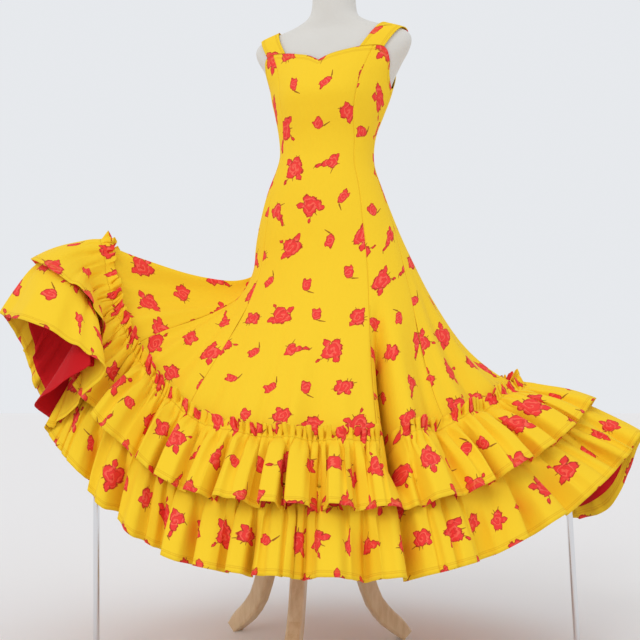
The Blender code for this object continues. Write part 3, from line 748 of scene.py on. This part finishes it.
def cloth(name, points, cut, edge, material, thick=0.0009):
    """A thin shell on a grid of points. cut is each point's place on the flat cloth, for the
    print, and edge its distances from a seam and from a stitched hem."""
    maker = sheet_of(points)
    maker.verts.index_update()
    layers = [(maker.loops.layers.uv.new("cut"), cut), (maker.loops.layers.uv.new("edge"), edge)]
    layers = [(layer, places.reshape(-1, 2).tolist()) for layer, places in layers]
    for face in maker.faces:
        for loop in face.loops:
            for layer, places in layers:
                loop[layer].uv = places[loop.vert.index]
    rim = [v for v in maker.verts if v.is_boundary]
    bmesh.ops.remove_doubles(maker, verts=rim, dist=2e-5)
    made = mesh_object(name, maker, material)
    shell = made.modifiers.new("thickness", "SOLIDIFY")
    shell.thickness = thick
    shell.offset = 0
    return made


SEAMS = table(  # where each long seam meets the ruffle on the loop, and its turn round the torso
    "s turn",
    (0.290, -87),
    (0.511, -47),
    (0.950, 45),
    (1.130, 87),
    (1.360, 93),
    (1.800, 134),
    (2.170, 180),
    (2.540, 226),
    (2.820, 260),
    (0.290 + LENGTH, 273),
)
# Each panel: its name, first seam, columns, whether it starts at the neck, the print's place, and
# the degrees that its edges turn above the hip, so that the side seams close over the gores.
PANELS = (
    ("panel_front_side_right", 0, 60, True, (0.31, 0.12), (-6.5, 0)),
    ("panel_front_centre", 1, 130, True, (0.045, 0.052), (0, 0)),
    ("panel_front_side_left", 2, 120, True, (0.67, 0.33), (0, 3)),
    ("gore_left", 3, 60, False, (1.13, 0.71), (3, -3)),
    ("panel_back_side_left", 4, 60, True, (1.57, 0.27), (-3, 0)),
    ("panel_back_centre_left", 5, 56, True, (2.03, 0.41), (0, 0)),
    ("panel_back_centre_right", 6, 56, True, (2.41, 0.83), (0, 0)),
    ("panel_back_side_right", 7, 46, True, (2.89, 0.19), (0, 6.5)),
    ("gore_right", 8, 70, False, (3.37, 0.57), (6.5, -6.5)),
)
CLOSES = 0.070  # height above the hip over which the side seams close
BAND = 0.105  # how far the panels run on under the ruffle
BODICE_ROWS, TIP_ROWS, SKIRT_ROWS, BAND_ROWS = 60, 14, 64, 12
BESIDE_SEAM = np.array([0.0, 0.0012, 0.0035, 0.008]) * 0.45  # the closest columns to a seam
SEAM_DIP, SEAM_WIDTH = 0.0012, 0.0022  # how far the cloth dips at a seam
LIP, LIP_AT, LIP_WIDTH = 0.009, 0.962, 0.013  # the deep pleat's edge rolls towards its seam
for name, seam, columns, from_neck, print_at, closing in PANELS:
    s_from, s_to = SEAMS["s"][seam : seam + 2]
    turn_from, turn_to = SEAMS["turn"][seam : seam + 2]
    margin = BESIDE_SEAM / (s_to - s_from)
    share = np.concatenate([margin, np.linspace(0.02, 0.98, columns), 1 - margin[::-1]])
    s = s_from + (s_to - s_from) * share
    turn = turn_from + (turn_to - turn_from) * share
    closing = closing[0] * (1 - share) + closing[1] * share
    leave = round_loop(STATIONS, LOOP["leave"], s)
    top = top_edge(turn + closing) if from_neck else leave + CLOSES
    down = np.linspace(0, 1, BODICE_ROWS if from_neck else TIP_ROWS)[:-1, None]
    height = top + (leave - top) * down
    bodice = bodice_point(turn + closing * ramp(height - leave, 0.0, CLOSES), height)
    lower_share = np.linspace(0, 1, SKIRT_ROWS)[:, None] + 0 * s
    skirt = skirt_point(s + 0 * lower_share, turn + 0 * lower_share, lower_share)
    band = path_down(s, np.linspace(0, BAND, BAND_ROWS)[1:], False)
    points = np.concatenate([bodice, skirt, band])
    share_down = np.concatenate([np.zeros(len(bodice)), lower_share[:, 0], np.ones(len(band))])
    share_down = share_down[:, None]
    along, out = grid_frame(points)
    seam_far = np.minimum(share, 1 - share) * (s_to - s_from)
    moved = skirt_fold(s[None, :], share_down)
    moved = moved + ramp(share_down, 0.0, 0.4) * 0.0012 * ripple(
        share_down * 0.7 + s[None, :] * 0.9, seam + 1, 2, 3, 5
    )
    moved = moved - SEAM_DIP * np.exp(-((seam_far / SEAM_WIDTH) ** 2))[None, :]
    lip = LIP * np.exp(-(((s - LIP_AT) / LIP_WIDTH) ** 2))[None, :] * ramp(share_down, 0.4, 0.9)
    points = points + out * moved[..., None] + along * lip[..., None]
    sideways = run_along(points, 1)
    sideways = sideways - sideways[:, [sideways.shape[1] // 2]]
    lengthways = run_along(points, 0)[:, [points.shape[1] // 2]] + 0 * sideways
    cut = np.stack([sideways + print_at[0], lengthways + print_at[1]], -1)
    top_far = run_along(points, 0) + (0 if from_neck else 1)  # a gore has no stitched top edge
    edge = np.stack([np.broadcast_to(seam_far, sideways.shape), top_far], -1)
    panel = cloth(name + "_cloth", points, cut, edge, cotton)
    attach(panel, "root")
    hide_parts(name)
    widest = (sideways.max(1) - sideways.min(1)).max()

# ---------------------------------------------------------------- shoulder straps
# Two straps of the same cotton, about 45 mm wide, doubled and turned, from the square corners of
# the neckline over the shoulder to the back.
STRAP_EYE = 1.400  # height from which a strap's run over the shoulder is measured
STRAP_TOP = (0.138, 0.185)  # how far off the middle its two edges cross the shoulder
for name, side in (("strap_left", 1), ("strap_right", -1)):
    across, along = np.meshgrid(np.linspace(0, 1, 18), np.linspace(0, 1, 70))
    feet = []
    for turn_in, turn_out in ((34, 55), (146, 128)):
        turn = turn_in + (turn_out - turn_in) * across
        height = top_edge(turn) + 0.0004
        angle = np.radians(swung(turn, height))
        x = ring(height, "half_width") * np.sin(angle)
        y = -depth_at(x, height, np.cos(angle) < 0, True) * np.cos(angle)
        feet.append((x, np.arctan2(height - STRAP_EYE, -y)))
    (front_x, first), (back_x, last) = feet
    top_x = STRAP_TOP[0] + (STRAP_TOP[1] - STRAP_TOP[0]) * across
    marks = np.stack([front_x, top_x, back_x])
    slopes = np.stack([(marks[1] - marks[0]) * 2, marks[2] - marks[0], (marks[2] - marks[1]) * 2])
    half = (along > 0.5).astype(int)[None]
    t = along * 2 - half[0]
    low, high = (np.take_along_axis(marks, half + k, 0)[0] for k in (0, 1))
    slope_low, slope_high = (np.take_along_axis(slopes, half + k, 0)[0] * 0.5 for k in (0, 1))
    x = (2 * t**3 - 3 * t**2 + 1) * low + (t**3 - 2 * t**2 + t) * slope_low
    x = x + (3 * t**2 - 2 * t**3) * high + (t**3 - t**2) * slope_high
    angle = first + (last - first) * along
    near, far = 0 * angle + 0.01, 0 * angle + 0.30
    for _ in range(30):  # halves the range in which the strap's line leaves the form
        middle = (near + far) / 2
        inside = outside(x, -middle * np.cos(angle), STRAP_EYE + middle * np.sin(angle), True) < 0
        near, far = np.where(inside, middle, near), np.where(inside, far, middle)
    points = moved_out(x * side, -near * np.cos(angle), STRAP_EYE + near * np.sin(angle), EASE)
    if side < 0:
        points = points[:, ::-1]
    sideways, lengthways = run_along(points, 1), run_along(points, 0)
    cut = np.stack([sideways + 4.1 + side * 0.21, lengthways + 0.35 + side * 0.11], -1)
    side_far = np.minimum(sideways, sideways[:, -1:] - sideways)
    edge = np.stack([np.minimum(lengthways, lengthways[-1:] - lengthways), side_far + 0.004], -1)
    strap = cloth(name + "_cloth", points, cut, edge, cotton, 0.0016)
    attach(strap, "root")
    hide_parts(name)

# ---------------------------------------------------------------- upper ruffle
# One long strip of the same cotton, gathered on a line 20 mm below its top edge, so that a curled
# frill stands above the line. Its small gathers run together into large folds lower down.
HEADER = 0.020
JOIN = 2.2  # where on the loop a strip's two ends are sewn together, close to the centre back


def phase(place, count, seed):
    """A wave's turn at each place round the ruffle, unevenly spaced."""
    uneven = sum(
        weight * np.sin(2 * np.pi * (times * place + seed * shift)) / times
        for times, weight, shift in ((5, 0.30, 0.17), (11, 0.35, 0.41), (23, 0.40, 0.73))
    )
    return 2 * np.pi * count * place + count * uneven * 0.8


def ruffle(columns, downs, seed, depths, counts, kicked):
    """The strip's points. depths(down, full) gives how far it stands off, and the depth of its
    gathers, middling folds and large folds, counts how many of each there are."""
    place = np.linspace(0, 1, columns + 1)
    s = (place * LENGTH + JOIN) % LENGTH
    base = path_down(s, downs, kicked)
    down = np.array(downs)[:, None]
    full = round_loop(FALLS["s"], FALLS["full"], s)[None, :]
    along, out = grid_frame(base)
    along[:, [0, -1]] = unit(along[:, [0]] + along[:, [-1]])
    out[:, [0, -1]] = unit(out[:, [0]] + out[:, [-1]])
    stand, *sizes = depths(down, full)
    below_panels = skirt_fold(s, np.ones_like(s))[None, :] * (1 - 0.75 * ramp(down, 0.0, 0.16))
    moved_out_by = stand + below_panels
    moved_along, curl = 0.0, ramp(-down, 0.0, 0.015)
    vary = 1 + 0.50 * np.clip(ripple(place, seed, 7, 17, 31), -0.9, 0.8)[None, :]
    drift = down * 2.0 * ripple(place, seed + 3, 4, 9)[None, :]
    for k, (size, count) in enumerate(zip(sizes, counts)):
        wave = phase(place, count, seed + k)[None, :] + (drift * k)
        size = size * (vary if k else vary + 0.55 * curl * ripple(place, seed + 4, 57, 89)[None, :])
        most = LENGTH / (2 * np.pi * count)
        moved_out_by = moved_out_by + size * (np.cos(wave) - 0.28 * np.cos(2 * wave))
        moved_along = moved_along + np.minimum(size * 0.9, most * 0.40) * np.sin(wave)
        doubled = np.minimum(size * 0.5, most * (0.26 + 0.64 * curl))
        moved_along = moved_along + doubled * np.sin(2 * wave)
    limp = [ripple(place, seed + 5 + k, 61 + 7 * k, 83, 127)[None, :] for k in range(3)]
    moved_out_by = moved_out_by + 0.009 * curl * limp[0]
    moved_along = moved_along + 0.005 * curl * limp[1]
    points = base + out * moved_out_by[..., None] + along * moved_along[..., None]
    points = points + np.cross(along, out) * (0.0045 * curl * limp[2])[..., None]
    points[:, -1] = points[:, 0]
    return place, points


def ruffle_piece(name, node, material, strip, downs, flat_width, print_at, hem=1.0):
    """The strip as a piece of cloth, with its print laid out at the width that it was cut to."""
    place, points = strip
    down = np.array(downs)[:, None]
    sideways = np.broadcast_to(place * flat_width, points.shape[:2])
    lengthways = np.broadcast_to(down, points.shape[:2])
    cut = np.stack([sideways + print_at[0], lengthways + print_at[1]], -1)
    edge = np.stack([sideways * 0 + 1, np.broadcast_to(hem - down, points.shape[:2])], -1)
    made = cloth(name, points, cut, edge, material)
    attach(made, "root")
    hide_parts(node)


def upper_depths(down, full):
    free = np.maximum(down, 0)
    header = np.maximum(-down, 0) / HEADER
    stand = 0.0055 + 0.0045 * (1 - full) + (0.02 + 0.24 * full) * free + 0.010 * header
    gathers = (0.0012 + 0.0105 * header + 0.08 * free) * (1 - ramp(free, 0.015, 0.060))
    middling = (0.0085 * ramp(free, 0.0, 0.030) - 0.0040 * ramp(free, 0.06, 0.14)) * full
    large = 0.025 * ramp(free, -0.01, 0.12) * full
    return stand, gathers, middling, large


UPPER_HEM, UPPER_FULLNESS = 0.165, 2.0
UPPER_COUNTS = (192, 92, 41)  # gathers, middling folds and large folds
frill_downs = [-0.021, -0.0185, -0.016, -0.0135, -0.011, -0.0085, -0.006, -0.0035, -0.001, 0.002]
fall_downs = [0.002, 0.006, 0.011, 0.016, 0.022, *np.linspace(0.029, UPPER_HEM, 16)]
for name, downs in (("upper_ruffle_frill", frill_downs), ("upper_ruffle_fall", fall_downs)):
    ruffle_piece(
        name,
        "ruffle_upper",
        cotton,
        ruffle(2080, downs, 1, upper_depths, UPPER_COUNTS, False),
        downs,
        LENGTH * UPPER_FULLNESS,
        (0.4, 0.43),
        UPPER_HEM,
    )

# ---------------------------------------------------------------- lower ruffle
# A second strip, set under the first one and showing below it, with larger folds and a double
# line of stitching at the hem.
LOWER_TOP = 0.109  # how far below the stitch line it starts, just past the panels' ends
LOWER_FULLNESS = 2.1


def lower_depths(down, full):
    free = np.maximum(down - LOWER_TOP, 0)
    stand = 0.0045 + (0.05 + 0.05 * full) * free
    gathers = 0.0014 * (1 - ramp(free, 0.0, 0.05))
    middling = 0.0065 * ramp(free, 0.0, 0.06) * full
    large = 0.026 * ramp(free, 0.02, 0.17) * full
    return stand, gathers, middling, large


downs = list(np.linspace(LOWER_TOP, HEM_FALL, 22))
ruffle_piece(
    "lower_ruffle",
    "ruffle_lower",
    cotton,
    ruffle(1400, downs, 7, lower_depths, (170, 88, 36), True),
    downs,
    LENGTH * LOWER_FULLNESS,
    (5.7, 5.8),
    HEM_FALL,
)

# ---------------------------------------------------------------- red under-ruffle
# A plain red strip inside the lower ruffle and a little shorter, seen where the skirt is lifted.
# It has no print and no stitched line, and its folds are shallow.
LINING_HEM, LINING_FULLNESS = 0.276, 1.5
lining_red, shader, tone = finish("red_lining", (0.600, 0.005, 0.010), 0.8, Specular_IOR_Level=0.2)
u, v = flat_place(tone, "cut")
weave = tone.noise(tone.point(u, v), 1400.0)
crumple = tone.noise(tone.point(u, v * 0.5), 30.0, 3.0)
# Painted shade: the red is darker where the crumple noise is low, which is where the same noise
# presses the surface in.
(crumple * 0.7 + 0.1).blend((0.500, 0.004, 0.008), (0.680, 0.007, 0.012)).lead_to(
    shader, "Base Color"
)
(weave * 0.0001 + crumple * 0.0014).raise_surface(shader, 0.7)


def lining_depths(down, full):
    free = np.maximum(down - LOWER_TOP, 0)
    stand = -0.0045 - (0.05 + 0.13 * full) * free
    gathers = 0.0005 + 0 * free
    middling = 0.002 * ramp(free, 0, 0.05)
    large = 0.008 * ramp(free, 0.0, 0.15) * full
    return stand, gathers, middling, large


downs = list(np.linspace(LOWER_TOP, LINING_HEM, 18))
ruffle_piece(
    "red_under_ruffle",
    "ruffle_lining",
    lining_red,
    ruffle(900, downs, 11, lining_depths, (120, 70, 32), True),
    downs,
    LENGTH * LINING_FULLNESS,
    (0.9, 0.2),
)

# ---------------------------------------------------------------- floor, light and camera
# A plain pale floor and a bright room all round. One broad lamp stands in front at the left and a
# weak one at the right, and the camera looks level at the skirt.
pale = finish("pale_floor", (0.860, 0.835, 0.820), 0.8)[0]
maker = bmesh.new()
bmesh.ops.create_grid(maker, x_segments=1, y_segments=1, size=9.0)
floor = mesh_object("floor", maker, pale)

studio = bpy.data.worlds.new("studio")
bpy.context.scene.world = studio
studio.use_nodes = True
backdrop = studio.node_tree.nodes["Background"].inputs
backdrop["Color"].default_value = (0.830, 0.850, 0.880, 1)
backdrop["Strength"].default_value = 0.96

LAMPS = (  # name, the side that it comes from, breadth in degrees and strength
    ("key", (-1.9, -3.0, 2.6), 30, 0.66),
    ("fill", (2.4, -3.0, 1.2), 50, 0.12),
)
for name, side, breadth, strength in LAMPS:
    lamp = bpy.data.lights.new(name, "SUN")
    lamp.angle = math.radians(breadth)
    lamp.energy = strength
    made = bpy.data.objects.new(name, lamp)
    made.rotation_euler = Vector(side).to_track_quat("Z", "Y").to_euler()
    bpy.context.scene.collection.objects.link(made)

bpy.context.scene.view_settings.view_transform = "Standard"

camera = bpy.data.cameras.new("camera")
camera.lens, camera.sensor_width = 59.7, 36
camera.shift_x, camera.shift_y = -0.008, 0.04
stand_in = bpy.data.objects.new("camera", camera)
stand_in.location = (0, -2.6, 0.74)
stand_in.rotation_euler = (math.radians(90), 0, 0)
bpy.context.scene.collection.objects.link(stand_in)
bpy.context.scene.camera = stand_in
